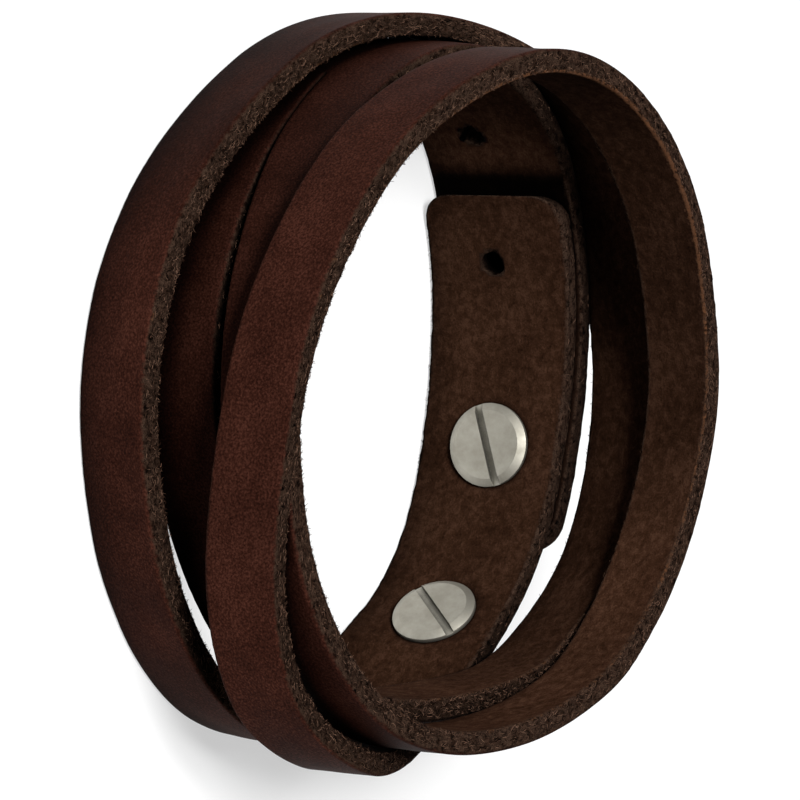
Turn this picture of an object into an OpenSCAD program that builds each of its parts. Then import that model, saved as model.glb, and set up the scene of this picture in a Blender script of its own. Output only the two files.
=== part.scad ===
/* [Leather] */
// Thickness of the leather
leather_t = 2.4; // [2:0.1:2.6]
// Width of the strip on the far side of the slit
far_w = 8.45; // [8:0.05:8.6]
// Width of the strip on the near side of the slit
near_w = 7.65; // [7:0.05:7.8]
// Size of the worn corners along the grain side
worn = 0.35; // [0.2:0.05:0.5]
// Radius of the tabs' rounded corners
tab_corner_r = 3; // [1.5:0.5:5]

/* [Wrist form] */
// Mean radius of the leather's inner face
wrist_r = 29.75; // [29:0.25:31]
// Gap between layers that lie on each other
layer_gap = 0.2; // [0.15:0.05:0.3]

/* [Screws] */
// Radius of a screw's head
head_r = 4.5; // [4:0.25:5]
// Radius of a head's flat face, inside its bevel
face_r = 3.7; // [3:0.05:4]
// Height of a head above the leather
head_h = 0.95; // [0.8:0.05:1.6]
// Height of the head's rim below the bevel
rim_h = 0.5; // [0.2:0.05:0.6]
// Width of the slot
slot_w = 0.9; // [0.7:0.1:1.2]
// Depth of the slot
slot_d = 0.6; // [0.4:0.1:0.8]
// Radius of the screw's shank
shank_r = 1.7; // [1.5:0.1:1.8]
// Radius of the post's barrel
barrel_r = 2.4; // [2.2:0.1:2.5]
// Thickness of the post's flat head
post_head_h = 1; // [0.8:0.1:1.2]
// Radius of a punched hole with no screw in it
spare_hole_r = 1.35; // [1:0.05:1.6]

/* [Hidden] */

// Places round the wrist are turns in degrees: 0 is +X, 90 is +Y, and each 360 is one wrap.
// Heights are above the surface that the bracelet lies on.
band_w = far_w + near_w;
outer_tab_end = -29;
slit_start = 100;
slit_end = 648;
inner_tab_end = 755.5;
step = 3;

// Harmonic, size along X, size along Y: how the worn oval departs from a circle.
HARMONIC = 0; ALONG_X = 1; ALONG_Y = 2;
oval = [
    [1, 3.8, 0.2],
    [2, -0.7, 0.7],
    [3, -0.6, 0.3],
    [4, -0.1, -0.5]
];

// Each strip and tab has rows of: turn, height of its low edge, distance of the inner face
// at its near edge from the wrist form, and tilt (near edge outward).
TURN = 0; LOW = 1; LIFT = 2; TILT = 3;
on_tab = leather_t + layer_gap;

outer_tab = [
    [-30, 0, on_tab + 1.2, 2],
    [-24, 0, on_tab + 0.95, 3],
    [-12, 0, on_tab + 0.5, 4.5],
    [0, 0, on_tab + 0.5, 6],
    [15, 0, on_tab + 0.5, 6.5],
    [30, 0, on_tab + 0.4, 5.5],
    [42, 0, on_tab + 0.1, 3.5],
    [60, 0, 1.85, 1.5],
    [75, 0, 1.39, 0],
    [90, 0, 0.8, 0],
    [slit_start, 0, 0.6, 0]
];

far_strip = [
    [slit_start, 0, 0.6, 0],
    [120, 1.05, 0.1, 0.5],
    [150, 3.4, 0.1, 0.5],
    [180, 4.75, 0.2, 1.5],
    [210, 6.4, 0.3, 2],
    [240, 8.2, 0.2, 1],
    [255, 9.2, 0.1, 0.5],
    [270, 11.5, 0, 0],
    [285, 14.3, 0, -1.5],
    [300, 16.6, 0.6, -9],
    [315, 16.6, 1.8, -14],
    [330, 17.2, 2.7, -15],
    [345, 17.3, 3.1, -12],
    [360, 16.8, 3.7, -7.5],
    [367, 15.9, 4.45, -7.5],
    [375, 15.1, 4.65, -7.5],
    [390, 14.9, 4.75, -7.5],
    [405, 13.1, 4.5, -8],
    [420, 8.1, 4.4, -1.5],
    [435, 3.6, 4.2, 2],
    [450, 0.9, 4.2, 5.5],
    [465, 0, 4.25, 7.5],
    [480, 0, 4.25, 8],
    [510, 0, 4.6, 10],
    [540, 0, 5, 8.5],
    [570, 0, 5, 7.5],
    [585, 0, 4.5, 6],
    [600, 0, 4.1, 4],
    [615, 0, 4, 2.5],
    [630, 0, 4.1, 0.5],
    [slit_end, 0, 3.7, 0]
];

near_strip = [
    [slit_start, far_w, 0.6, 0],
    [120, 9.7, 0.3, 0.5],
    [150, 12.4, 0, 0],
    [180, 14.2, 0.6, -1.5],
    [210, 15.1, 1.8, 1.5],
    [240, 16.8, 2.1, 0],
    [255, 17.7, 2.2, -3],
    [270, 20.0, 2.05, -2.5],
    [285, 22.95, 1.2, -5.5],
    [300, 25.3, 0, -10],
    [315, 25.3, 0, -10.5],
    [330, 25.4, 0, -8.5],
    [360, 25.8, 0, -6.5],
    [375, 25.3, 0, -3],
    [390, 24.8, 0.1, 2],
    [405, 23.9, 0.2, 5],
    [420, 22.7, 0.6, 4],
    [450, 20.5, 1.8, 1],
    [480, 18.6, 2.6, -1],
    [510, 17.9, 2.75, 0],
    [540, 16.4, 3.35, -5],
    [555, 15.3, 4.1, -5],
    [570, 13.9, 4.9, -4],
    [585, 12.8, 5.5, -4.5],
    [600, 12.3, 5.8, -6],
    [615, 13, 5.7, -4.5],
    [630, 11.2, 5, -1.5],
    [slit_end, far_w, 3.7, 0]
];

inner_tab = [
    [slit_end, 0, 3.7, 0],
    [654, 0, 3.7, 4],
    [660, 0, 2.3, 5],
    [666, 0, 1.6, 3],
    [672, 0, 1.3, 1],
    [684, 0, 1.1, 1],
    [696, 0, 0.6, 3],
    [708, 0, 0.1, 4.5],
    [720, 0, 0.2, 6],
    [735, 0, 0.45, 6.5],
    [750, 0, 0.4, 6],
    [765, 0, 0.4, 6]
];

// Turn, height, inner end and outer end of what goes through the tabs.
HOLE_TURN = 0; HOLE_HEIGHT = 1; HOLE_FROM = 2; HOLE_TO = 3;
two_layers = 2 * leather_t + layer_gap;
upper_screw = [-13.5, 8.25, 0, two_layers + 0.4];
lower_screw = [-48.9, 8.5, 0, leather_t + 0.25];
inner_spare = [21.9, 7.45, 0, leather_t];
outer_spare = [45.1, 6.75, on_tab, two_layers];
clear = 0.1;
seat_reach = 2;
seat_sunk = 0.04;
cut_past_inner = 0.6;
cut_past_outer = 0.15;
barrel_start = 0.3;
shank_short = 0.4;
upper_slot_angle = -23;
lower_slot_angle = -51;

// Row of a table that starts the stretch holding a turn.
function row_at(t, a, i = 0) = (i >= len(t) - 2 || a < t[i + 1][TURN]) ? i : row_at(t, a, i + 1);

// Slope of a column at a row, from the rows on either side of it.
function slope(t, c, i) = let (p = max(i - 1, 0), n = min(i + 1, len(t) - 1))
    (t[n][c] - t[p][c]) / (t[n][TURN] - t[p][TURN]);

// A column's value at any turn, on a smooth curve through the rows.
function along(t, c, a) = let (
        i = row_at(t, a),
        w = t[i + 1][TURN] - t[i][TURN],
        u = min(max((a - t[i][TURN]) / w, 0), 1),
        from = t[i][c],
        to = t[i + 1][c]
    )
    from + (to - from) * u * u * (3 - 2 * u)
    + w * u * (1 - u) * ((1 - u) * slope(t, c, i) - u * slope(t, c, i + 1));

function sum(v, i = 0) = i < len(v) ? v[i] + sum(v, i + 1) : 0;

function form_r(a) = wrist_r
    + sum([for (h = oval) h[ALONG_X] * cos(h[HARMONIC] * a) + h[ALONG_Y] * sin(h[HARMONIC] * a)]);

function at(a, lift, z) = let (r = form_r(a) + lift) [r * cos(a), r * sin(a), z];

// Points of a section, each from its place across the width and through the thickness.
function section(t, w, a, places) = let (
        tilt = along(t, TILT, a),
        c = cos(tilt),
        s = sin(tilt),
        low = max(along(t, LOW, a), 0) + leather_t * max(s, 0),
        lift = along(t, LIFT, a) - w * s
    )
    [for (q = places) at(a, lift + q.x * s + q.y * c, low + q.x * c - q.y * s)];

// Section of a strip from its low edge: inner face, near side, worn corners, far side.
function strip_ring(t, w, a) = section(t, w, a, [[0, 0], [w, 0], [w, leather_t - worn],
    [w - worn, leather_t], [worn, leather_t], [0, leather_t - worn]]);

// How far a tab's rounded corner draws its edge in, at a distance from the end.
function inset(d) = d >= tab_corner_r ? 0
    : tab_corner_r - sqrt(pow(tab_corner_r, 2) - pow(tab_corner_r - d, 2));

// Section of a tab: as a strip's, with a middle point inside and outside where the slit will be.
function tab_ring(t, a, end) = let (
        d = inset(abs(a - end) * PI / 180 * wrist_r),
        w = band_w - d
    )
    section(t, band_w, a, [[d, 0], [far_w, 0], [w, 0], [w, leather_t - worn], [w - worn, leather_t],
        [far_w, leather_t], [d + worn, leather_t], [d, leather_t - worn]]);

// The slit's end has one more point, where both strips' worn corners start.
function slit_end_point(t, a) = section(t, band_w, a, [[far_w, leather_t - worn]])[0];

// A hole's place on the inner tab's inner face, moved along the tab by an angle.
function on_face(hole, by = 0) = section(inner_tab, band_w, hole[HOLE_TURN] + 720 + by,
    [[hole[HOLE_HEIGHT], 0]])[0];

function span(a, b, by) = let (n = ceil((b - a) / by)) [for (i = [0 : n]) a + (b - a) * i / n];

corner_turns = [for (d = [0, 0.05, 0.2, 0.45, 0.75]) d * tab_corner_r * 180 / PI / wrist_r];
corner_turn = tab_corner_r * 180 / PI / wrist_r;
outer_turns = concat([for (d = corner_turns) outer_tab_end + d],
    span(outer_tab_end + corner_turn, slit_start, step));
strip_turns = span(slit_start, slit_end, step);
inner_turns = concat(span(slit_end, inner_tab_end - corner_turn, step),
    [for (i = [len(corner_turns) - 1 : -1 : 0]) inner_tab_end - corner_turns[i]]);

n_outer = len(outer_turns);
n_strip = len(strip_turns) - 2;
n_inner = len(inner_turns);
outer_slit_point = 8 * n_outer;
first_strip = outer_slit_point + 1;
first_inner = first_strip + 12 * n_strip;
inner_slit_point = first_inner + 8 * n_inner;

band_points = concat(
    [for (a = outer_turns) each tab_ring(outer_tab, a, outer_tab_end)],
    [slit_end_point(outer_tab, slit_start)],
    [for (i = [1 : n_strip])
        each concat(strip_ring(far_strip, far_w, strip_turns[i]), strip_ring(near_strip, near_w, strip_turns[i]))],
    [for (a = inner_turns) each tab_ring(inner_tab, a, inner_tab_end)],
    [slit_end_point(inner_tab, slit_end)]
);

function loop(first, n) = [for (k = [0 : n - 1]) first + k];
function far_of(b, slit_point) = [b, b + 1, slit_point, b + 5, b + 6, b + 7];
function near_of(b, slit_point) = [b + 1, b + 2, b + 3, b + 4, b + 5, slit_point];

outer_last = 8 * (n_outer - 1);
far_rings = concat([far_of(outer_last, outer_slit_point)],
    [for (i = [0 : n_strip - 1]) loop(first_strip + 12 * i, 6)],
    [far_of(first_inner, inner_slit_point)]);
near_rings = concat([near_of(outer_last, outer_slit_point)],
    [for (i = [0 : n_strip - 1]) loop(first_strip + 12 * i + 6, 6)],
    [near_of(first_inner, inner_slit_point)]);
outer_rings = [for (i = [0 : n_outer - 1]) loop(8 * i, 8)];
inner_rings = [for (i = [0 : n_inner - 1]) loop(first_inner + 8 * i, 8)];

// Triangles between each ring of a list and the next.
function skin(rings) = [for (i = [0 : len(rings) - 2], k = [0 : len(rings[i]) - 1])
    let (a = rings[i], b = rings[i + 1], m = (k + 1) % len(a))
    each [[a[k], b[k], b[m]], [a[k], b[m], a[m]]]];

function reversed(v) = [for (i = [len(v) - 1 : -1 : 0]) v[i]];

// Triangles of a tab's end, spread from the middle of its flesh side.
function cap(ring) = [for (k = [2 : 7]) [ring[1], ring[k], ring[(k + 1) % 8]]];

band_faces = concat(
    skin(outer_rings), skin(far_rings), skin(near_rings), skin(inner_rings),
    cap(outer_rings[0]), [for (t = cap(inner_rings[n_inner - 1])) reversed(t)]
);

// The middle of the band's outline, which goes over the origin.
function middle(v) = (min(v) + max(v)) / 2;
centre = [middle([for (p = band_points) p.x]), middle([for (p = band_points) p.y]), 0];

// Puts something on a tab, with +Z outward and Z = 0 at the inner tab's inner face.
module through(hole) {
    run = on_face(hole, 0.5) - on_face(hole, -0.5);
    translate(on_face(hole) - centre)
        rotate([0, 90 + along(inner_tab, TILT, hole[HOLE_TURN] + 720), atan2(run.y, run.x) - 90])
            children();
}

module punched(hole, r) {
    through(hole)
        translate([0, 0, hole[HOLE_FROM] - cut_past_inner])
            cylinder(r = r, h = hole[HOLE_TO] - hole[HOLE_FROM] + cut_past_inner + cut_past_outer, $fn = 48);
}

// A screw head's seat: the leather is pressed flat under it.
module seat(hole) {
    through(hole)
        translate([0, 0, seat_sunk - seat_reach])
            cylinder(r = head_r + clear, h = seat_reach, $fn = 64);
}

module leather_band() {
    color([0.27, 0.16, 0.12])
        difference() {
            translate(-centre)
                polyhedron(points = band_points, faces = band_faces, convexity = 12);
            punched(inner_spare, spare_hole_r);
            punched(outer_spare, spare_hole_r);
            punched(upper_screw, barrel_r + clear);
            punched(lower_screw, barrel_r + clear);
            seat(upper_screw);
            seat(lower_screw);
        }
}

module slotted_screw(hole, angle) {
    shank_end = hole[HOLE_TO] - shank_short;
    color([0.75, 0.74, 0.71])
        through(hole)
            difference() {
                rotate_extrude($fn = 96)
                    polygon([[0, -head_h], [face_r, -head_h], [head_r, -rim_h], [head_r, -clear / 2],
                        [shank_r, -clear / 2], [shank_r, shank_end], [0, shank_end]]);
                rotate([0, 0, angle])
                    translate([-slot_w / 2, -head_r - 1, -head_h - 1])
                        cube([slot_w, 2 * head_r + 2, slot_d + 1]);
            }
}

module slotted_screw_upper() {
    slotted_screw(upper_screw, upper_slot_angle);
}

module slotted_screw_lower() {
    slotted_screw(lower_screw, lower_slot_angle);
}

// A plain barrel, closed by a flat head on the outer face.
module post(hole) {
    top = hole[HOLE_TO] + clear / 2;
    color([0.75, 0.74, 0.71])
        through(hole)
            rotate_extrude($fn = 96)
                polygon([[shank_r + clear, barrel_start], [barrel_r, barrel_start], [barrel_r, top],
                    [head_r, top], [head_r, top + post_head_h], [0, top + post_head_h], [0, top],
                    [shank_r + clear, top]]);
}

module post_upper() {
    post(upper_screw);
}

module post_lower() {
    post(lower_screw);
}

leather_band();
slotted_screw_upper();
slotted_screw_lower();
post_upper();
post_lower();
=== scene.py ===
import math

import bmesh
import bpy
import numpy as np
from mathutils import Matrix, Vector, noise


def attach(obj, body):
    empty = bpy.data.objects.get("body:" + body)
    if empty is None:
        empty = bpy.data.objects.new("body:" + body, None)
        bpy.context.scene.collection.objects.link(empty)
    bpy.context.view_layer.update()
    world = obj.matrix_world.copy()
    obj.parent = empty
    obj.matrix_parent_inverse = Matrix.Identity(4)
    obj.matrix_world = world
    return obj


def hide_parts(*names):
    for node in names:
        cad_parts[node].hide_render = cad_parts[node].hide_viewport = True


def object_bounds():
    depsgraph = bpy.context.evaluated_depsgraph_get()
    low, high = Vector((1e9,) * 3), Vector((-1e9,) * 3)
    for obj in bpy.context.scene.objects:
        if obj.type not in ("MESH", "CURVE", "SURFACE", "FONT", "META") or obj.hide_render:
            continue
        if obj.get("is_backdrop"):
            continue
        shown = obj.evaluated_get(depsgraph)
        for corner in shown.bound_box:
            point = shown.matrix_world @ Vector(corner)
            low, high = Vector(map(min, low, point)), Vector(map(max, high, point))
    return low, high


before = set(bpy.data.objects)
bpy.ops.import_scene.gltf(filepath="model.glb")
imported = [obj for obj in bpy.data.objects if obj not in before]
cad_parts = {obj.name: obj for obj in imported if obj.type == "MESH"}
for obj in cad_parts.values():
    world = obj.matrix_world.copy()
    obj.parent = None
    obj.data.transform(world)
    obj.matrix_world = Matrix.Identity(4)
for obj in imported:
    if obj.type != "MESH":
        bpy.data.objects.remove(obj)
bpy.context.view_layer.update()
MM = 0.001


# The camera looks down on the bracelet as it lies on its side, nearly square to the overlapped
# ends. Its turns, its roll and its long lens are the photograph's.
view_turn, view_rise, view_roll = math.radians(57.84), math.radians(4.61), math.radians(3.84)
view_distance = 416.4 * MM
view_target = Vector((-5.701, -0.398, 17.551)) * MM
view_pixels = 4209.7
frame_pixels = 800

toward_camera = Vector((
    -math.cos(view_rise) * math.sin(view_turn),
    math.sin(view_rise),
    math.cos(view_rise) * math.cos(view_turn),
))
level_right = Vector((math.cos(view_turn), 0, math.sin(view_turn)))
level_up = toward_camera.cross(level_right)
camera_right = math.cos(view_roll) * level_right + math.sin(view_roll) * level_up
camera_up = math.cos(view_roll) * level_up - math.sin(view_roll) * level_right

camera = bpy.data.objects.new("camera", bpy.data.cameras.new("camera"))
camera.data.sensor_width = 36
camera.data.lens = camera.data.sensor_width * view_pixels / frame_pixels
camera.data.clip_start, camera.data.clip_end = 0.01, 20
camera.matrix_world = Matrix.Translation(view_target + view_distance * toward_camera) @ Matrix((
    camera_right, camera_up, toward_camera)).transposed().to_4x4()
bpy.context.collection.objects.link(camera)
bpy.context.scene.camera = camera


# The band is one long strap of thick bridle leather, wound twice round the wrist. It is slit
# lengthwise into a far and a near strip, and its two ends stay whole and overlap.
leather_t, far_w, near_w = 2.4, 8.45, 7.65
band_w = far_w + near_w
layer_gap = 0.2
tab_corner_r = 3.0
wrist_r = 29.75
degree = math.radians(1) * wrist_r
# Terms of the worn oval are: waves round the wrist, cosine part, sine part.
oval = [(1, 3.8, 0.2), (2, -0.7, 0.7), (3, -0.6, 0.3), (4, -0.1, -0.5)]
outer_tab_end, slit_start, slit_end, inner_tab_end = -29.0, 100.0, 648.0, 755.5

# Rows are: turn, height of the low edge, lift of the near edge off the wrist form, tilt. They are
# the solid's rows, but at turn 75 the lift is 0.03 mm more, so that no light shows through there.
on_tab = leather_t + layer_gap
outer_tab = [
    (-30, 0, on_tab + 1.2, 2), (-24, 0, on_tab + 0.95, 3), (-12, 0, on_tab + 0.5, 4.5),
    (0, 0, on_tab + 0.5, 6), (15, 0, on_tab + 0.5, 6.5), (30, 0, on_tab + 0.4, 5.5),
    (42, 0, on_tab + 0.1, 3.5), (60, 0, 1.85, 1.5), (75, 0, 1.42, 0), (90, 0, 0.8, 0),
    (slit_start, 0, 0.6, 0),
]
far_strip = [
    (slit_start, 0, 0.6, 0), (120, 1.05, 0.1, 0.5), (150, 3.4, 0.1, 0.5), (180, 4.75, 0.2, 1.5),
    (210, 6.4, 0.3, 2), (240, 8.2, 0.2, 1), (255, 9.2, 0.1, 0.5), (270, 11.5, 0, 0),
    (285, 14.3, 0, -1.5), (300, 16.6, 0.6, -9), (315, 16.6, 1.8, -14), (330, 17.2, 2.7, -15),
    (345, 17.3, 3.1, -12), (360, 16.8, 3.7, -7.5), (367, 15.9, 4.45, -7.5),
    (375, 15.1, 4.65, -7.5), (390, 14.9, 4.75, -7.5), (405, 13.1, 4.5, -8), (420, 8.1, 4.4, -1.5),
    (435, 3.6, 4.2, 2), (450, 0.9, 4.2, 5.5), (465, 0, 4.25, 7.5),
    (480, 0, 4.25, 8), (510, 0, 4.6, 10), (540, 0, 5, 8.5), (570, 0, 5, 7.5),
    (585, 0, 4.5, 6), (600, 0, 4.1, 4), (615, 0, 4, 2.5), (630, 0, 4.1, 0.5),
    (slit_end, 0, 3.7, 0),
]
near_strip = [
    (slit_start, far_w, 0.6, 0), (120, 9.7, 0.3, 0.5), (150, 12.4, 0, 0), (180, 14.2, 0.6, -1.5),
    (210, 15.1, 1.8, 1.5), (240, 16.8, 2.1, 0), (255, 17.7, 2.2, -3), (270, 20.0, 2.05, -2.5),
    (285, 22.95, 1.2, -5.5), (300, 25.3, 0, -10), (315, 25.3, 0, -10.5), (330, 25.4, 0, -8.5),
    (360, 25.8, 0, -6.5), (375, 25.3, 0, -3), (390, 24.8, 0.1, 2), (405, 23.9, 0.2, 5),
    (420, 22.7, 0.6, 4), (450, 20.5, 1.8, 1), (480, 18.6, 2.6, -1), (510, 17.9, 2.75, 0),
    (540, 16.4, 3.35, -5), (555, 15.3, 4.1, -5), (570, 13.9, 4.9, -4), (585, 12.8, 5.5, -4.5),
    (600, 12.3, 5.8, -6), (615, 13, 5.7, -4.5), (630, 11.2, 5, -1.5), (slit_end, far_w, 3.7, 0),
]
inner_tab = [
    (slit_end, 0, 3.7, 0), (654, 0, 3.7, 4), (660, 0, 2.3, 5), (666, 0, 1.6, 3),
    (672, 0, 1.3, 1), (684, 0, 1.1, 1), (696, 0, 0.6, 3), (708, 0, 0.1, 4.5), (720, 0, 0.2, 6),
    (735, 0, 0.45, 6.5), (750, 0, 0.4, 6), (765, 0, 0.4, 6),
]


def along(rows, column, turn):
    """A column's value at any turns, on a smooth curve through its rows."""
    table = np.array(rows, float)
    knots, values = table[:, 0], table[:, column]
    before = np.maximum(np.arange(len(knots)) - 1, 0)
    after = np.minimum(np.arange(len(knots)) + 1, len(knots) - 1)
    slopes = (values[after] - values[before]) / (knots[after] - knots[before])
    i = np.clip(np.searchsorted(knots, turn, side="right") - 1, 0, len(knots) - 2)
    wide = knots[i + 1] - knots[i]
    u = np.clip((turn - knots[i]) / wide, 0, 1)
    eased = u * u * (3 - 2 * u)
    bend = wide * u * (1 - u) * ((1 - u) * slopes[i] - u * slopes[i + 1])
    return values[i] + (values[i + 1] - values[i]) * eased + bend


def form_r(turn):
    """Radius of the worn oval that the leather's inner face follows."""
    angle = np.radians(turn)
    return wrist_r + sum(x * np.cos(k * angle) + y * np.sin(k * angle) for k, x, y in oval)


def lay(rows, wide, turn, across, thick):
    """Places of points at a turn, across the width from the low edge, and through the thickness."""
    tilt = np.radians(along(rows, 3, turn))
    low = np.maximum(along(rows, 1, turn), 0) + leather_t * np.maximum(np.sin(tilt), 0)
    r = form_r(turn) + along(rows, 2, turn) + (across - wide) * np.sin(tilt) + thick * np.cos(tilt)
    z = low + across * np.cos(tilt) - thick * np.sin(tilt)
    angle = np.radians(turn)
    return np.stack([r * np.cos(angle), r * np.sin(angle), z], -1)


# Each ring of the mesh runs across the flesh side, up the near cut edge, back across the grain
# side and down the far cut edge. A tab's ring holds both strips' faces side by side.
face_places = 18
edge_places = np.array([0.14, 0.4, 0.8])
middle_from = 1.25
grain_corner = 0.38
ring_step = 0.5
straight_up = np.array([0.14, 0.45, 0.85, 1.25, 1.65, leather_t - grain_corner])
round_over = np.radians([22.5, 45, 67.5])
side_thick = np.concatenate([straight_up, leather_t - grain_corner * (1 - np.sin(round_over))])
side_inset = np.concatenate([0 * straight_up, grain_corner * (1 - np.cos(round_over))])
side_cut = np.array([1, 1, 1, 1, 1, 0.95, 0.7, 0.4, 0.18])
side_flesh = np.array([0.55, 0.2, 0, 0, 0, 0, 0, 0, 0])
flesh_rim_cut = np.array([0.75, 0.3, 0.08])
grain_rim_cut = np.array([0.08, 0.02, 0])
tab_stretch, skive_stretch = 1.5, 4.5
places_side = len(side_thick)
tab_face_places = 2 * face_places - 1
tab_corner_places = np.array([0, 0.03, 0.12, 0.28, 0.5, 0.8, 1.2, 1.7, 2.3])


def face_across(low, high, low_cut, high_cut):
    """Places across a face, close together beside each edge that is cut."""
    start = low + edge_places if low_cut else []
    finish = high - edge_places[::-1] if high_cut else []
    first = low + middle_from if low_cut else low
    last = high - middle_from if high_cut else high
    middle = np.linspace(first, last, face_places - len(start) - len(finish))
    return np.concatenate([start, middle, finish])


def ring_columns(face, wide):
    """Columns of one ring: across, thickness, bare fibre, flesh side and inset at a tab's end."""
    grain = face.copy()
    grain[:2] += grain_corner - edge_places[0]
    grain[-2:] -= grain_corner - edge_places[0]
    flat = np.zeros(len(face))
    on_flesh, on_grain = flat.copy(), flat.copy()
    on_flesh[:3], on_flesh[-3:] = flesh_rim_cut, flesh_rim_cut[::-1]
    on_grain[:3], on_grain[-3:] = grain_rim_cut, grain_rim_cut[::-1]
    return np.stack([
        np.concatenate([face, wide - side_inset, grain[::-1], side_inset[::-1]]),
        np.concatenate([flat, side_thick, flat + leather_t, side_thick[::-1]]),
        np.concatenate([on_flesh, side_cut, on_grain, side_cut[::-1]]),
        np.concatenate([flat + 1, side_flesh, flat, side_flesh[::-1]]),
        np.concatenate([flat + edge_places[0], side_inset, flat + grain_corner, side_inset[::-1]]),
    ])


far_columns = ring_columns(face_across(0, far_w, True, True), far_w)
near_columns = ring_columns(face_across(0, near_w, True, True), near_w)
tab_columns = ring_columns(np.concatenate([
    face_across(0, far_w, True, False), face_across(far_w, band_w, False, True)[1:]]), band_w)

points, cuts, fleshes, straps, faces = [], [], [], [], []


# Patterns of unevenness are: scale along the strap, scale across it, start. The depths after
# them say how far each moves the surface. The knife followed each of the three long cuts apart.
lumps, waves, swells = (1.9, 1.9, 0), (0.7, 2, 9), (0.14, 0.3, 5)
edge_lumps, edge_waves, edge_belly, edge_inset = 0.1, 0.09, 0.06, 0.05
grain_swell, flesh_lumps, flesh_swell = 0.1, 0.06, 0.05
knife_waver, knife_scale, knife_start, cut_pitch, cuts_apart = 0.12, 0.07, 3, 8, 9


def uneven(strap, pattern):
    """Smooth noise at places on the strap, stretched along it or across it."""
    along_scale, across_scale, start = pattern
    return np.array([noise.noise(Vector((p[0] * along_scale, p[1] * across_scale,
        p[2] * across_scale + start))) for p in strap])


def bulge(strap):
    """How far a cut edge stands out of true: the knife wandered and the fibres swelled."""
    knife = np.array([noise.noise(Vector((p[0] * knife_scale,
        round(p[1] / cut_pitch) * cuts_apart, knife_start))) for p in strap])
    belly = edge_belly * np.sin(np.pi * strap[:, 2] / leather_t)
    fibres_out = edge_lumps * uneven(strap, lumps) + edge_waves * uneven(strap, waves)
    return fibres_out + knife_waver * knife + belly - edge_inset


def add_points(rows, wide, turn, across, thick, cut, flesh, first_across=0.0):
    """Adds points of a strip or tab, roughened as worn leather is, and gives their numbers."""
    values = np.broadcast_arrays(turn, across, thick, cut, flesh)
    shape = values[0].shape
    turn, across, thick, cut, flesh = [np.array(v, float).ravel() for v in values]
    strap = np.stack([np.radians(turn) * wrist_r, across + first_across, thick], -1)
    swell = uneven(strap, swells)
    fine = uneven(strap, lumps)
    grain = (1 - flesh) * (1 - cut)
    moved_across = across + np.sign(2 * across / wide - 1) * cut * bulge(strap)
    moved_thick = thick + grain * grain_swell * swell
    moved_thick += flesh * (flesh_lumps * fine + flesh_swell * swell)
    first = sum(len(p) for p in points)
    points.append(lay(rows, wide, turn, moved_across, moved_thick))
    cuts.append(cut)
    fleshes.append(flesh)
    straps.append(strap)
    return np.arange(first, first + len(turn)).reshape(shape)


def skin(a, b):
    """Faces between one closed ring and the next."""
    for k in range(len(a)):
        m = (k + 1) % len(a)
        faces.append((a[k], b[k], b[m], a[m]))


def strip_rings(rows, columns, wide, first_across):
    """Rings of a strip between the two ends of the slit."""
    count = round(math.radians(slit_end - slit_start) * wrist_r / ring_step)
    turns = np.linspace(slit_start, slit_end, count + 1)[1:-1, None]
    across, thick, cut, flesh, inset = columns
    return add_points(rows, wide, turns, across, thick, cut, flesh, first_across)


def tab_rings(rows, end, slit_turn, undercut):
    """Rings of a tab from its rounded, undercut end to the slit, and the cap on its end."""
    whole = abs(slit_turn - end) * degree
    count = round((whole - tab_corner_r) / ring_step)
    beyond_corner = np.linspace(tab_corner_r, whole, count + 1)
    far_from_end = np.concatenate([tab_corner_places, beyond_corner])[:, None]
    short_of = np.maximum(tab_corner_r - far_from_end, 0)
    drawn_in = tab_corner_r - np.sqrt(tab_corner_r ** 2 - short_of ** 2)
    across, thick, cut, flesh, inset = tab_columns
    side_of = np.interp(across, [middle_from, band_w - middle_from], [1, -1])
    set_back = far_from_end + inset * np.maximum(1 - far_from_end / tab_stretch, 0)
    skive = undercut * thick / leather_t
    set_back = set_back + skive * np.maximum(1 - far_from_end / skive_stretch, 0)
    toward_slit = math.copysign(1, slit_turn - end) / degree
    rings = add_points(rows, band_w, end + toward_slit * set_back, across + drawn_in * side_of,
        thick, cut, flesh)

    n = tab_face_places
    cap_across = across[:n] + drawn_in[0] * side_of[:n]
    cap_turn = end + toward_slit * (side_inset + undercut * side_thick / leather_t)[:, None]
    middle = add_points(rows, band_w, cap_turn, cap_across, side_thick[:, None], side_cut[:, None],
        side_flesh[:, None])
    ring = rings[0]
    near_side = ring[n:n + places_side]
    far_side = ring[2 * n + places_side:][::-1]
    grid = np.vstack([ring[:n], middle, ring[n + places_side:2 * n + places_side][::-1]])
    for k in range(len(grid) - 1):
        for j in range(n - 1):
            faces.append((grid[k, j], grid[k, j + 1], grid[k + 1, j + 1], grid[k + 1, j]))
    for side, j in ((far_side, 0), (near_side, n - 1)):
        faces.append((grid[0, j], grid[1, j], side[0]))
        faces.append((grid[-1, j], side[-1], grid[-2, j]))
        for k in range(places_side - 1):
            faces.append((side[k], grid[k + 1, j], grid[k + 2, j], side[k + 1]))
    for k in range(len(rings) - 1):
        skin(rings[k], rings[k + 1])
    return rings


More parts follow.
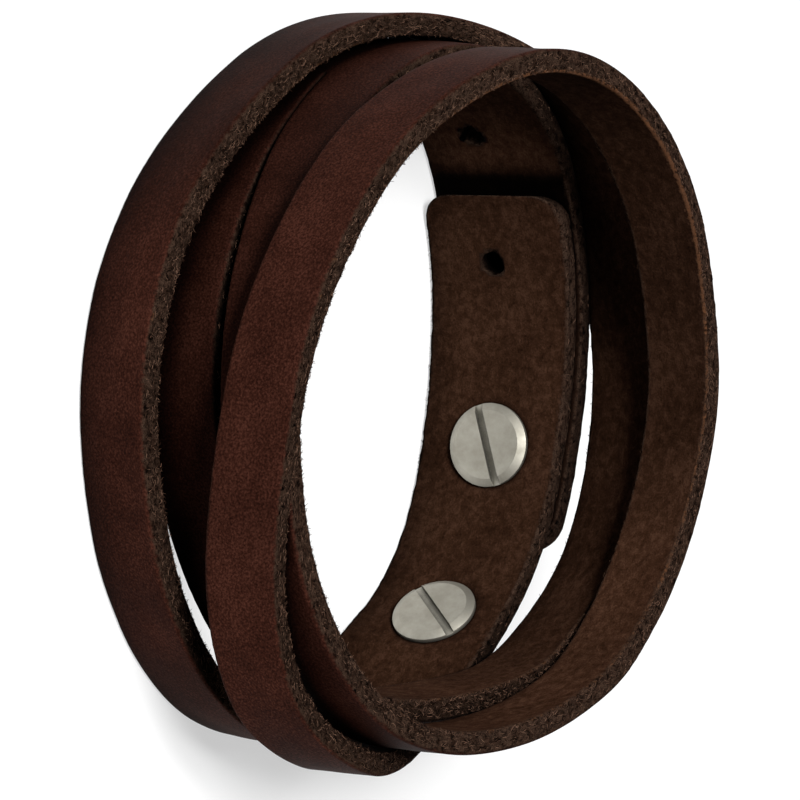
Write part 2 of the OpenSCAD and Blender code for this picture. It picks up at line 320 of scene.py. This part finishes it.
outer_undercut, inner_undercut, slit_end_cut = 0, 1.3, 0.6
outer_rings = tab_rings(outer_tab, outer_tab_end, slit_start, outer_undercut)
inner_rings = tab_rings(inner_tab, inner_tab_end, slit_end, inner_undercut)
far_rings = strip_rings(far_strip, far_columns, far_w, 0)
near_rings = strip_rings(near_strip, near_columns, near_w, far_w)
for rows, turn, tab_ring, order in (
        (outer_tab, slit_start, outer_rings[-1], 0), (inner_tab, slit_end, inner_rings[-1], -1)):
    wall = add_points(rows, band_w, turn, far_w, side_thick, slit_end_cut, 0)
    grain_from = tab_face_places + places_side
    far_part = np.concatenate([tab_ring[:face_places], wall,
        tab_ring[grain_from + face_places - 1:]])
    near_part = np.concatenate([tab_ring[face_places - 1:grain_from + face_places], wall[::-1]])
    skin(far_part, far_rings[order])
    skin(near_part, near_rings[order])
for rings in (far_rings, near_rings):
    for k in range(len(rings) - 1):
        skin(rings[k], rings[k + 1])

# The middle of the band's outline goes over the origin, as the solid's does.
band_points = np.concatenate(points)
centre = (band_points.min(0) + band_points.max(0)) / 2
centre[2] = 0
band_points -= centre
band_points[:, 2] = np.maximum(band_points[:, 2], 0)
strap_at = np.concatenate(straps)
cut_at = np.concatenate(cuts)
flesh_at = np.concatenate(fleshes)

# Bare tan fibre shows along the near edges' flesh corners where the strap has rubbed, and in
# a few nicks. Rows are: turn, how much shows.
near_rub = [
    (100, 0.25), (240, 0.3), (300, 0.45), (370, 0.6), (395, 1), (462, 1), (480, 0.6), (520, 0.55),
    (648, 0.3),
]
far_rub = [
    (100, 0.1), (255, 0.15), (275, 0.45), (315, 0.45), (330, 0.1), (440, 0.1), (452, 0.75),
    (478, 0.8), (490, 0.25), (648, 0.1),
]
# Nicks are: turn, place across the whole strap, thickness and radius.
nicks = [
    (513.5, band_w, 2.2, 0.55), (519.8, band_w, 1.9, 0.5), (550.5, band_w, 1.6, 0.6),
    (527, far_w, 2.0, 0.5), (432, band_w, 1.9, 0.35),
]
rub_depth, rub_width, nick_shown = 0.55, 0.6, 0.7


def between(rows, turn):
    """The value at any turns, on straight lines between rows of: turn, value."""
    return np.interp(turn, [row[0] for row in rows], [row[1] for row in rows])


turn_at = np.degrees(strap_at[:, 0] / wrist_r)
on_strip = (turn_at > slit_start) & (turn_at < slit_end)
flesh_corner = np.clip(1 - strap_at[:, 2] / rub_depth, 0, 1)
tan_at = np.zeros(len(strap_at))
for edge, rub in ((band_w, near_rub), (far_w, far_rub)):
    beside = np.clip(1 - np.abs(strap_at[:, 1] - edge) / rub_width, 0, 1) * flesh_corner * on_strip
    tan_at = np.maximum(tan_at, beside * between(rub, turn_at))
for turn, across, thick, radius in nicks:
    away = np.linalg.norm(strap_at - [math.radians(turn) * wrist_r, across, thick], axis=1)
    tan_at = np.maximum(tan_at, np.clip(nick_shown - nick_shown * away / radius, 0, 1))

# Some stretches of each face are painted lighter and others darker, as painted light and shade. The
# outer tab's flesh is painted nearly black beside the inner tab's end, a painted shadow. Rows are:
# turn, brightness.
far_grain = [
    (100, 0.6), (235, 0.8), (440, 1), (458, 0.55), (495, 0.6), (515, 1), (560, 1.1), (585, 1.4),
    (648, 1.3),
]
near_grain = [
    (100, 0.6), (160, 0.65), (200, 1.1), (470, 0.8), (530, 0.85), (560, 0.9), (585, 1.35),
    (648, 1.3),
]
far_flesh = [(100, 1), (262, 1), (282, 1.5), (300, 1.2), (330, 1), (648, 1)]
near_flesh = [
    (100, 1), (240, 1.2), (290, 1.6), (322, 1.75), (350, 1), (385, 0.75), (420, 0.8), (648, 1),
]
tab_grain = [(70, 1), (slit_start, 0.6), (slit_end, 1.3), (680, 1)]
outer_tab_flesh = [
    (10, 1), (35.5, 0.06), (36.4, 0.12), (37.6, 0.8), (39.5, 1.4), (60, 1.4), (90, 1),
]
on_far, on_flesh = strap_at[:, 1] < far_w, strap_at[:, 2] < leather_t / 2
painted_light_at = np.ones(len(strap_at))
for here, rows in (
        (on_strip & on_far & ~on_flesh, far_grain), (on_strip & ~on_far & ~on_flesh, near_grain),
        (on_strip & on_far & on_flesh, far_flesh), (on_strip & ~on_far & on_flesh, near_flesh),
        (~on_strip & ~on_flesh, tab_grain), ((turn_at < slit_start) & on_flesh, outer_tab_flesh)):
    painted_light_at[here] = between(rows, turn_at[here])

# Holes through the tabs: turn, height, and start and end outward from the inner tab's inner face.
two_layers = 2 * leather_t + layer_gap
head_r = 4.5
barrel_hole_r = 2.5
spare_hole_r = 1.3
two_turns = 720
upper_screw = (-13.5, 8.25, 0, two_layers + 0.4)
lower_screw = (-48.9, 8.5, 0, leather_t)
inner_spare = (21.9, 7.45, 0, leather_t)
outer_spare = (45.1, 6.75, on_tab, two_layers)
# Each with its radius and how far its wall has frayed.
holes = [
    (upper_screw, barrel_hole_r, 0.02), (lower_screw, barrel_hole_r, 0.02),
    (inner_spare, spare_hole_r, 0.13), (outer_spare, spare_hole_r, 0.26),
]


def hole_frame(hole):
    """A hole's place on the inner face, and its outward axis."""
    turns = hole[0] + two_turns + np.array([0, 0.5, -0.5])
    place, ahead, behind = lay(inner_tab, band_w, turns, hole[1], 0)
    tilt = math.radians(along(inner_tab, 3, turns)[0])
    run = (ahead - behind) / np.linalg.norm(ahead - behind)
    outward = np.array([run[1] * math.cos(tilt), -run[0] * math.cos(tilt), -math.sin(tilt)])
    return place - centre, outward / np.linalg.norm(outward)


# The screws' heads have pressed round seats into the leather.
seat_depth, seat_slope, seat_reach, seat_room, seat_back = 0.04, 0.6, 2.5, 0.1, -2
for hole in (upper_screw, lower_screw):
    place, outward = hole_frame(hole)
    depth = (band_points - place) @ outward
    radius = np.linalg.norm(band_points - place - depth[:, None] * outward, axis=1)
    seat = seat_depth - seat_slope * np.maximum(radius - head_r - seat_room, 0)
    pressed = (radius < head_r + seat_reach) & (depth > seat_back) & (depth < seat)
    band_points[pressed] += (seat - depth)[pressed, None] * outward

band_mesh = bpy.data.meshes.new("band")
band_mesh.from_pydata((band_points * MM).tolist(), [], [tuple(int(v) for v in f) for f in faces])
for name, kind, values in (("strap", "FLOAT_VECTOR", strap_at), ("cut", "FLOAT", cut_at),
        ("flesh", "FLOAT", flesh_at), ("tan", "FLOAT", tan_at), ("tone", "FLOAT", painted_light_at)):
    layer = band_mesh.attributes.new(name, kind, "POINT")
    layer.data.foreach_set("vector" if kind == "FLOAT_VECTOR" else "value", values.ravel())
edited = bmesh.new()
edited.from_mesh(band_mesh)
bmesh.ops.recalc_face_normals(edited, faces=edited.faces)
edited.to_mesh(band_mesh)
edited.free()

# The holes are punched out with uneven plugs. The spare ones have frayed a little.
plug_sides, plug_rows, plug_before, plug_longer = 40, 7, 0.7, 1.0
fray_round, fray_deep, fray_apart, fray_coarse, fray_fine = 1.6, 0.5, 20, 1.6, 3.1
plug_points, plug_faces = [], []
for number, (hole, radius, fray) in enumerate(holes):
    place, outward = hole_frame(hole)
    start, finish = hole[2:]
    sideways = Vector(outward).orthogonal().normalized()
    forward = Vector(outward).cross(sideways)
    first = len(plug_points)
    for row in range(plug_rows):
        depth = start - plug_before + (finish - start + plug_longer) * row / (plug_rows - 1)
        for side in range(plug_sides):
            angle = 2 * math.pi * side / plug_sides
            spot = Vector((math.cos(angle) * fray_round, math.sin(angle) * fray_round,
                depth * fray_deep + fray_apart * number))
            coarse, fine = noise.noise(spot), noise.noise(spot * fray_fine)
            r = radius * (1 + fray * fray_coarse * coarse + fray * fine)
            plug_points.append(Vector(place) + depth * Vector(outward)
                + r * (math.cos(angle) * sideways + math.sin(angle) * forward))
    for row in range(plug_rows - 1):
        for side in range(plug_sides):
            low = first + row * plug_sides
            after = (side + 1) % plug_sides
            plug_faces.append((low + side, low + after, low + plug_sides + after,
                low + plug_sides + side))
    plug_faces.append(tuple(range(first + plug_sides - 1, first - 1, -1)))
    plug_faces.append(tuple(range(first + (plug_rows - 1) * plug_sides, len(plug_points))))
plug_mesh = bpy.data.meshes.new("plugs")
plug_mesh.from_pydata([p * MM for p in plug_points], [], plug_faces)
plugs = bpy.data.objects.new("plugs", plug_mesh)
band = bpy.data.objects.new("band", band_mesh)
for item in (plugs, band):
    bpy.context.collection.objects.link(item)
punch = band.modifiers.new("punch", "BOOLEAN")
punch.operation = "DIFFERENCE"
punch.solver = "MANIFOLD"
punch.object = plugs
depsgraph = bpy.context.evaluated_depsgraph_get()
depsgraph.update()
punched = bpy.data.meshes.new_from_object(
    band.evaluated_get(depsgraph), preserve_all_data_layers=True, depsgraph=depsgraph)
band.modifiers.clear()
band.data = punched
bpy.data.objects.remove(plugs)

# The walls of the holes are cut fibre too.
wall_wider, wall_past = 1.12, 1
count = len(punched.vertices)
spots, cut_now, strap_now = np.empty(count * 3), np.empty(count), np.empty(count * 3)
punched.vertices.foreach_get("co", spots)
punched.attributes["cut"].data.foreach_get("value", cut_now)
punched.attributes["strap"].data.foreach_get("vector", strap_now)
spots = spots.reshape(-1, 3) / MM
strap_now = strap_now.reshape(-1, 3)
for hole, radius, fray in holes:
    place, outward = hole_frame(hole)
    start, finish = hole[2:]
    depth = (spots - place) @ outward
    away = np.linalg.norm(spots - place - depth[:, None] * outward, axis=1)
    wall = (depth > start - wall_past) & (depth < finish + wall_past)
    wall &= away < radius * wall_wider
    cut_now[wall] = 1
    strap_now[wall] = spots[wall]
punched.attributes["cut"].data.foreach_set("value", cut_now)
punched.attributes["strap"].data.foreach_set("vector", strap_now.ravel())
punched.shade_smooth()


# Leather, one material: smooth wax-finished grain outside, brushed suede inside, and raw cut
# edges between them, all dyed through to a dark red brown.
leather = bpy.data.materials.new("leather")
leather.use_nodes = True
nodes, links = leather.node_tree.nodes, leather.node_tree.links


def group(name, outputs):
    """A node group that takes a place and gives what varies over the surface."""
    made = bpy.data.node_groups.new(name, "ShaderNodeTree")
    made.interface.new_socket("Place", in_out="INPUT", socket_type="NodeSocketVector")
    for title, kind in outputs:
        made.interface.new_socket(title, in_out="OUTPUT", socket_type=kind)
    return made, made.nodes.new("NodeGroupInput"), made.nodes.new("NodeGroupOutput")


def node(tree, kind, inputs=(), **settings):
    """Adds a node, sets it up and joins or fills its inputs."""
    made = tree.nodes.new(kind)
    for key, value in settings.items():
        setattr(made, key, value)
    for socket, value in dict(inputs).items():
        if isinstance(value, bpy.types.NodeSocket):
            tree.links.new(value, made.inputs[socket])
        else:
            made.inputs[socket].default_value = value
    return made


def ramp(tree, value, stops):
    """A colour ramp through stops of: position, colour."""
    made = tree.nodes.new("ShaderNodeValToRGB")
    tree.links.new(value, made.inputs["Fac"])
    points_of = made.color_ramp.elements
    while len(points_of) < len(stops):
        points_of.new(0.5)
    for point, (position, colour) in zip(points_of, stops):
        point.position = position
        point.color = (*colour, 1) if isinstance(colour, tuple) else (colour, colour, colour, 1)
    return made.outputs["Color"]


def mixed(tree, factor, first, second, blend="MIX"):
    """A mix of two colours."""
    made = tree.nodes.new("ShaderNodeMix")
    made.data_type = "RGBA"
    made.blend_type = blend
    for socket, value in ((0, factor), (6, first), (7, second)):
        if isinstance(value, bpy.types.NodeSocket):
            tree.links.new(value, made.inputs[socket])
        else:
            made.inputs[socket].default_value = value if socket == 0 else (*value, 1)
    return made.outputs[2]


def maths(tree, operation, *values):
    """One operation on numbers or sockets."""
    return node(tree, "ShaderNodeMath", enumerate(values), operation=operation).outputs[0]


def weighted(tree, *parts):
    """The sum of sockets, each times its weight."""
    first, *others = [maths(tree, "MULTIPLY", socket, weight) for socket, weight in parts]
    for other in others:
        first = maths(tree, "ADD", first, other)
    return first


looks = [("Color", "NodeSocketColor"), ("Height", "NodeSocketFloat")]
grain_look, place_in, look_out = group("grain side", looks)
place = place_in.outputs[0]
clouds = node(grain_look, "ShaderNodeTexNoise", {"Vector": place, "Scale": 0.2, "Detail": 4,
    "Roughness": 0.6})
pebble = node(grain_look, "ShaderNodeTexNoise", {"Vector": place, "Scale": 4.5, "Detail": 3,
    "Roughness": 0.7})
pores = node(grain_look, "ShaderNodeTexVoronoi", {"Vector": place, "Scale": 3.3})
tone = weighted(grain_look, (clouds.outputs["Fac"], 0.25), (pebble.outputs["Fac"], 0.75))
rise = weighted(grain_look, (pebble.outputs["Fac"], 0.7), (pores.outputs["Distance"], 0.5))
grain_look.links.new(ramp(grain_look, tone, [(0.36, (0.0130, 0.0036, 0.0022)),
    (0.5, (0.0340, 0.0102, 0.0062)), (0.64, (0.0760, 0.0255, 0.0165))]), look_out.inputs["Color"])
grain_look.links.new(rise, look_out.inputs["Height"])

flesh_look, place_in, look_out = group("flesh side", looks)
place = place_in.outputs[0]
mottle = node(flesh_look, "ShaderNodeTexNoise", {"Vector": place, "Scale": 1.1, "Detail": 3,
    "Roughness": 0.6, "Distortion": 0.4})
nap = node(flesh_look, "ShaderNodeTexNoise", {"Vector": place, "Scale": 5.0, "Detail": 3,
    "Roughness": 0.7, "Distortion": 0.8})
clouds = node(flesh_look, "ShaderNodeTexNoise", {"Vector": place, "Scale": 0.16, "Detail": 2})
tone = weighted(flesh_look, (mottle.outputs["Fac"], 0.4), (nap.outputs["Fac"], 0.4),
    (clouds.outputs["Fac"], 0.2))
rise = weighted(flesh_look, (nap.outputs["Fac"], 1.0), (mottle.outputs["Fac"], 0.8))
flesh_look.links.new(ramp(flesh_look, tone, [(0.37, (0.0130, 0.0052, 0.0026)),
    (0.5, (0.0300, 0.0128, 0.0068)), (0.62, (0.0580, 0.0270, 0.0155))]), look_out.inputs["Color"])
flesh_look.links.new(rise, look_out.inputs["Height"])

cut_look, place_in, look_out = group("cut edge", looks)
place = place_in.outputs[0]
pits = node(cut_look, "ShaderNodeTexNoise", {"Vector": place, "Scale": 1.9, "Detail": 4,
    "Roughness": 0.72})
body = ramp(cut_look, pits.outputs["Fac"], [(0.40, (0.0010, 0.0006, 0.0004)),
    (0.5, (0.0080, 0.0038, 0.0024)), (0.62, (0.0300, 0.0155, 0.0100))])
rise = pits.outputs["Fac"]
# Two tangles of fibre, each showing only in places. A strand is where its noise is near half.
strand_narrow, strand_colour = 11.0, (0.100, 0.058, 0.039)
for shift, scale, share in (((0, 0, 0), 2.4, 0.47), ((9, 4, 7), 3.6, 0.5)):
    moved = node(cut_look, "ShaderNodeVectorMath", {0: place, 1: shift}, operation="ADD").outputs[0]
    strands = node(cut_look, "ShaderNodeTexNoise", {"Vector": moved, "Scale": scale, "Detail": 3,
        "Roughness": 0.6, "Distortion": 2.4})
    shown = node(cut_look, "ShaderNodeTexNoise", {"Vector": moved, "Scale": 1.3, "Detail": 2})
    off_strand = maths(cut_look, "SUBTRACT", strands.outputs["Fac"], 0.5)
    off_strand = maths(cut_look, "ABSOLUTE", off_strand)
    ridge = maths(cut_look, "SUBTRACT", 1.0, maths(cut_look, "MULTIPLY", off_strand, strand_narrow))
    ridge = maths(cut_look, "MULTIPLY", maths(cut_look, "MAXIMUM", ridge, 0.0),
        ramp(cut_look, shown.outputs["Fac"], [(share - 0.05, 0.0), (share + 0.08, 1.0)]))
    body = mixed(cut_look, maths(cut_look, "MULTIPLY", ridge, 0.75), body, strand_colour)
    rise = maths(cut_look, "ADD", rise, maths(cut_look, "MULTIPLY", ridge, 0.3))
cut_look.links.new(body, look_out.inputs["Color"])
cut_look.links.new(rise, look_out.inputs["Height"])

tree = leather.node_tree
strap_place = node(tree, "ShaderNodeAttribute", attribute_name="strap").outputs["Vector"]
cut_value, flesh_value, tan_value, painted_light_value = [
    node(tree, "ShaderNodeAttribute", attribute_name=name).outputs["Fac"]
    for name in ("cut", "flesh", "tan", "tone")]
grain_side, flesh_side, cut_side = [
    node(tree, "ShaderNodeGroup", {"Place": strap_place}, node_tree=look).outputs
    for look in (grain_look, flesh_look, cut_look)]
breakup = node(tree, "ShaderNodeTexNoise", {"Vector": strap_place, "Scale": 2.4, "Detail": 4,
    "Roughness": 0.7}).outputs["Fac"]
wobble = maths(tree, "MULTIPLY", maths(tree, "SUBTRACT", breakup, 0.5), 1.5)
cut_mask = ramp(tree, maths(tree, "ADD", cut_value, wobble), [(0.22, 0.0), (0.8, 1.0)])
flesh_mask = ramp(tree, maths(tree, "ADD", flesh_value, wobble), [(0.42, 0.0), (0.62, 1.0)])
face_colour = mixed(tree, flesh_mask, grain_side["Color"], flesh_side["Color"])
# The faces are multiplied by the tone rows, which are painted light and shade.
face_colour = mixed(tree, 1.0, face_colour, painted_light_value, "MULTIPLY")
colour = mixed(tree, cut_mask, face_colour, cut_side["Color"])
# Where a corner is rubbed, undyed fibre shows as a ragged tan line.
rim = ramp(tree, maths(tree, "ADD", tan_value, wobble), [(0.3, 0.0), (0.62, 1.0)])
rim = maths(tree, "MULTIPLY", rim, ramp(tree, tan_value, [(0.02, 0.0), (0.14, 1.0)]))
colour = mixed(tree, maths(tree, "MULTIPLY", rim, 0.6), colour, (0.150, 0.064, 0.030))
# Painted shade: the colour is darkened in folds, gaps between layers and holes, where light is shut
# out.
painted_shade = node(tree, "ShaderNodeAmbientOcclusion", {"Distance": 6 * MM}, samples=6).outputs["AO"]
colour = mixed(tree, 1.0, colour, ramp(tree, painted_shade, [(0.3, 0.05), (0.9, 1.0)]), "MULTIPLY")
face_height = mixed(tree, flesh_mask, maths(tree, "MULTIPLY", grain_side["Height"], 0.16),
    maths(tree, "MULTIPLY", flesh_side["Height"], 0.45))
height = mixed(tree, cut_mask, face_height, cut_side["Height"])
relief = node(tree, "ShaderNodeBump", {"Height": height, "Strength": 0.8, "Distance": 0.25 * MM})
surface = nodes["Principled BSDF"]
links.new(colour, surface.inputs["Base Color"])
links.new(relief.outputs["Normal"], surface.inputs["Normal"])
rough = ramp(tree, maths(tree, "MAXIMUM", cut_mask, flesh_mask), [(0.0, 0.58), (1.0, 0.95)])
links.new(rough, surface.inputs["Roughness"])
surface.inputs["Specular IOR Level"].default_value = 0.016
band.data.materials.clear()
band.data.materials.append(leather)
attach(band, "root")
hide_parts("leather_band")


# Loose leather fibres lie tangled on the raw cut edges and stand out of the flesh corners. They
# are dyed with the band, and grow out of it. Pairs are the least and the most of a measure.
random = np.random.default_rng(11)
fibre_points, fibre_sides = 4, 3
fibre_r, fibre_taper = (0.016, 0.034), np.array([0.7, 1, 0.9, 0.3])
standing_depth, lying_depth = (0.14, 0.4), (0.1, 2.0)
standing_length, lying_length = (0.15, 0.45), (0.2, 0.75)
stand_across, stand_inward, rooted = (0.04, 0.2), (0.05, 0.35), -0.3
heading_spread, curl_spread, waver, curl_middle = 0.7, 1.3, 0.04, 0.04
arch_rise, arch_size = np.array([-0.03, 0.045, 0.05, -0.01]), (0.6, 1.6)
shallowest, deepest = 0.04, leather_t - grain_corner - 0.05
above_floor = 0.05


def fibre_lines(rows, wide, side, first_across, first_turn, last_turn, count, teeth):
    """Middle lines of fibres along one cut edge: those lying on it, then those standing out."""
    middle = random.uniform(first_turn, last_turn, count)
    standing = random.random(count) < teeth
    thick = np.where(standing, random.uniform(*standing_depth, count),
        random.uniform(*lying_depth, count))[:, None]
    length = np.where(standing, random.uniform(*standing_length, count),
        random.uniform(*lying_length, count))[:, None]
    heading = random.normal(0, heading_spread, count) + np.pi * random.integers(0, 2, count)
    steps = np.linspace(-0.5, 0.5, fibre_points)[None, :] * length
    bend = random.normal(0, curl_spread, count)[:, None] * (steps ** 2 - curl_middle)
    wave = random.normal(0, waver, (count, fibre_points))
    ahead = steps * np.cos(heading)[:, None] - bend * np.sin(heading)[:, None]
    deeper = steps * np.sin(heading)[:, None] + bend * np.cos(heading)[:, None]
    arch = arch_rise[None, :] * random.uniform(*arch_size, (count, 1))
    reach = np.linspace(rooted, 1, fibre_points)[None, :]
    out_of_corner = random.uniform(*stand_across, (count, 1)) * reach
    turn = middle[:, None] + (ahead + wave) / degree
    depth = np.where(standing[:, None], thick - reach * random.uniform(*stand_inward, (count, 1)),
        np.clip(thick + deeper + wave, shallowest, deepest))
    height = np.where(standing[:, None], out_of_corner, arch)
    edge = wide if side > 0 else 0
    strap = np.stack([turn * degree, turn * 0 + edge + first_across, depth], -1).reshape(-1, 3)
    surface = bulge(strap).reshape(turn.shape)
    across = edge + side * (surface + height)
    return lay(rows, wide, turn, across, depth)


# Edges are: rows of the strip or tab, its width, near or far side, where it starts across the
# whole strap, first turn, last turn, number of fibres and share that stands out.
past_corner, past_slit = 7, 4
near_edges = [
    (near_strip, near_w, 1, far_w, slit_start, slit_end, 8300, 0.13),
    (near_strip, near_w, -1, far_w, slit_start + past_slit, slit_end - past_slit, 900, 0.35),
    (outer_tab, band_w, 1, 0, outer_tab_end + past_corner, 45, 60, 0.1),
    (outer_tab, band_w, 1, 0, 45, slit_start, 300, 0.1),
    (inner_tab, band_w, 1, 0, slit_end, inner_tab_end - past_corner, 300, 0.1),
]
far_edges = [
    (far_strip, far_w, 1, 0, slit_start + past_slit, 255, 500, 0.05),
    (far_strip, far_w, 1, 0, 255, slit_end - past_slit, 7900, 0.13),
    (far_strip, far_w, -1, 0, slit_start, slit_end, 900, 0.35),
    (inner_tab, band_w, -1, 0, slit_end, inner_tab_end - past_corner, 300, 0.4),
]
edge_lines = {
    name: np.concatenate([fibre_lines(*edge) for edge in edges]) - centre
    for name, edges in (("near_fibres", near_edges), ("far_fibres", far_edges))
}

fibre_leather = bpy.data.materials.new("leather fibre")
fibre_leather.use_nodes = True
tree = fibre_leather.node_tree
shade_value = node(tree, "ShaderNodeAttribute", attribute_name="shade").outputs["Fac"]
surface = tree.nodes["Principled BSDF"]
tree.links.new(ramp(tree, shade_value, [(0.0, (0.006, 0.0028, 0.0018)),
    (0.55, (0.045, 0.0230, 0.0150)), (1.0, (0.190, 0.1080, 0.0720))]), surface.inputs["Base Color"])
surface.inputs["Roughness"].default_value = 0.9
surface.inputs["Specular IOR Level"].default_value = 0.03

# Each fibre is a thin three-sided tube that tapers at both ends. More of them are dark than pale.
slant, mostly_dark = (0.31, 0.22, 0.93), 1.3
angles = 2 * np.pi * np.arange(fibre_sides) / fibre_sides
side = np.arange(fibre_sides)
after = (side + 1) % fibre_sides
for name, lines in edge_lines.items():
    lines = lines[(lines[:, :, 2] > above_floor).all(axis=1)]
    count = len(lines)
    ahead = np.gradient(lines, axis=1)
    ahead /= np.linalg.norm(ahead, axis=2, keepdims=True)
    sideways = np.cross(ahead, slant)
    sideways /= np.linalg.norm(sideways, axis=2, keepdims=True)
    upward = np.cross(ahead, sideways)
    radius = random.uniform(*fibre_r, (count, 1)) * fibre_taper
    spoke = np.cos(angles)[:, None] * sideways[:, :, None]
    spoke = spoke + np.sin(angles)[:, None] * upward[:, :, None]
    tube = lines[:, :, None] + radius[:, :, None, None] * spoke
    first = (np.arange(count) * fibre_points * fibre_sides)[:, None]
    tube_faces = (first + side[::-1]).tolist()
    tube_faces += (first + (fibre_points - 1) * fibre_sides + side).tolist()
    for step in range(fibre_points - 1):
        low = first + step * fibre_sides
        high = low + fibre_sides
        quads = np.stack([low + side, low + after, high + after, high + side], -1)
        tube_faces += quads.reshape(-1, 4).tolist()
    fibre_mesh = bpy.data.meshes.new(name)
    fibre_mesh.from_pydata((tube.reshape(-1, 3) * MM).tolist(), [], tube_faces)
    shade = fibre_mesh.attributes.new("shade", "FLOAT", "POINT")
    shades = random.random(count) ** mostly_dark
    shade.data.foreach_set("value", np.repeat(shades, fibre_points * fibre_sides))
    fibre_mesh.shade_smooth()
    fibre_mesh.materials.append(fibre_leather)
    fibres = bpy.data.objects.new(name, fibre_mesh)
    bpy.context.collection.objects.link(fibres)
    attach(fibres, "root")


# Two slotted screws and their posts are turned from brass and plated in satin nickel.
nickel = bpy.data.materials.new("nickel")
nickel.use_nodes = True
metal = nickel.node_tree.nodes["Principled BSDF"]
metal.inputs["Metallic"].default_value = 1
tree = nickel.node_tree
metal_place = node(tree, "ShaderNodeTexCoord").outputs["Object"]
tarnish = node(tree, "ShaderNodeTexNoise", {"Vector": metal_place, "Scale": 420, "Detail": 5,
    "Roughness": 0.65}).outputs["Fac"]
plated = ramp(tree, tarnish, [(0.35, (0.375, 0.355, 0.300)), (0.65, (0.455, 0.435, 0.375))])
# Painted shade: the colour is darkened in the slots and round the heads, where light is shut out.
painted_shade = node(tree, "ShaderNodeAmbientOcclusion", {"Distance": 1.2 * MM}, samples=6).outputs["AO"]
tree.links.new(mixed(tree, 1.0, plated, ramp(tree, painted_shade, [(0.25, 0.1), (0.85, 1.0)]), "MULTIPLY"),
    metal.inputs["Base Color"])
tree.links.new(ramp(tree, tarnish, [(0.35, 0.66), (0.65, 0.56)]), metal.inputs["Roughness"])
for name in ("slotted_screw_upper", "slotted_screw_lower", "post_upper", "post_lower"):
    piece = bpy.data.objects[name]
    piece.data.materials.clear()
    piece.data.materials.append(nickel)
    weld = piece.modifiers.new("weld", "WELD")
    weld.merge_threshold = 0.002 * MM
    bevel = piece.modifiers.new("bevel", "BEVEL")
    bevel.width = 0.12 * MM
    bevel.segments = 3
    bevel.limit_method = "ANGLE"
    bevel.angle_limit = math.radians(25)


# A white table, lit from above on the camera's side by a large soft box, and a little from
# beside. It shines white to the camera and in the metal, but throws less light on the leather.
floor = bpy.data.objects.new("floor", bpy.data.meshes.new("floor"))
edited = bmesh.new()
bmesh.ops.create_grid(edited, x_segments=1, y_segments=1, size=3)
edited.to_mesh(floor.data)
edited.free()
white = bpy.data.materials.new("floor white")
white.use_nodes = True
table = white.node_tree.nodes["Principled BSDF"]
table.inputs["Roughness"].default_value = 0.8
table.inputs["Specular IOR Level"].default_value = 0.0
table.inputs["Emission Color"].default_value = (1, 1, 1, 1)
path = node(white.node_tree, "ShaderNodeLightPath").outputs
seen = maths(white.node_tree, "MAXIMUM", path["Is Camera Ray"], path["Is Glossy Ray"])
white.node_tree.links.new(ramp(white.node_tree, seen, [(0.0, 0.25), (1.0, 0.42)]),
    table.inputs["Base Color"])
white.node_tree.links.new(maths(white.node_tree, "MULTIPLY", seen, 0.53),
    table.inputs["Emission Strength"])
floor.data.materials.append(white)
bpy.context.collection.objects.link(floor)
floor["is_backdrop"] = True

world = bpy.data.worlds.new("world")
world.use_nodes = True
world.node_tree.nodes["Background"].inputs["Color"].default_value = (1, 1, 1, 1)
world.node_tree.nodes["Background"].inputs["Strength"].default_value = 0.14
bpy.context.scene.world = world
for name, place, size, power in (
        ("key", (-1.5, 0.9, 2.4), 1.0, 138), ("back", (0.2, 0.75, 0.3), 0.4, 0.4)):
    lamp = bpy.data.lights.new(name, "AREA")
    lamp.energy = power
    lamp.size = size
    holder = bpy.data.objects.new(name, lamp)
    holder.location = place
    holder.rotation_euler = (-Vector(place)).to_track_quat("-Z", "Y").to_euler()
    bpy.context.collection.objects.link(holder)
bpy.context.scene.view_settings.view_transform = "Standard"

low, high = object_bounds()
